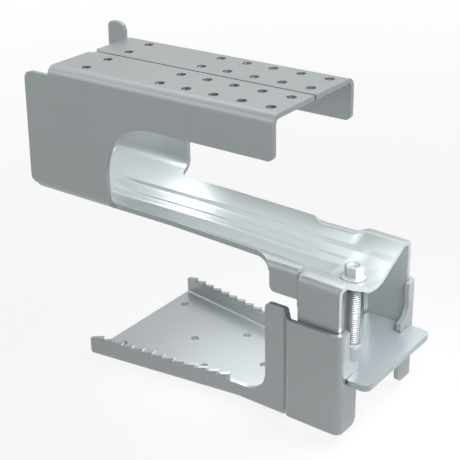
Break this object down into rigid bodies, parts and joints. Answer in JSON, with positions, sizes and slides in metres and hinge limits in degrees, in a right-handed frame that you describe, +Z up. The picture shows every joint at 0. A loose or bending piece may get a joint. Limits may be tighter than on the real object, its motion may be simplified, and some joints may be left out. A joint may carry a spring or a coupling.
{
  "type": "solar roof hook",
  "caption": "Height-adjustable roof hook: a folded perforated rail channel on a pressed arm, clamped down on a roof batten by a bolt in a toothed bracket.",
  "frame": {"origin": "on the bracket's underside at the upstands' stop edge, on the centre plane", "axes": "+X from the rail channel's fold towards the bolt, +Z up from the base to the rail face, +Y across"},
  "size_m": [0.2592, 0.1078, 0.2035],
  "materials": {
    "hook_steel": "smooth galvanised sheet, satin",
    "bracket_steel": "smooth galvanised sheet, satin",
    "plate_steel": "zinc-plated steel, satin",
    "bolt_steel": "zinc-plated steel, half gloss"
  },
  "bodies": {
    "bracket": {"bracket": "bracket_steel", "threaded_plate": "plate_steel"},
    "hook": {"hook": "hook_steel"},
    "bolt": {"clamp_bolt": "bolt_steel"}
  },
  "joints": [
    {"name": "hook_slide", "type": "slide", "parent": "bracket", "child": "hook", "axis": [0, 0, 1], "range_m": [-0.028, 0.006]},
    {"name": "bolt_turn", "type": "hinge", "parent": "hook", "child": "bolt", "pos_m": [0.0375, 0, 0.06], "axis": [0, 0, 1], "range_deg": [-6720, 1440]}
  ],
  "couplings": [
    {"joint": "bolt_turn", "follows": "hook_slide", "rad_per_m": 4188.8}
  ]
}
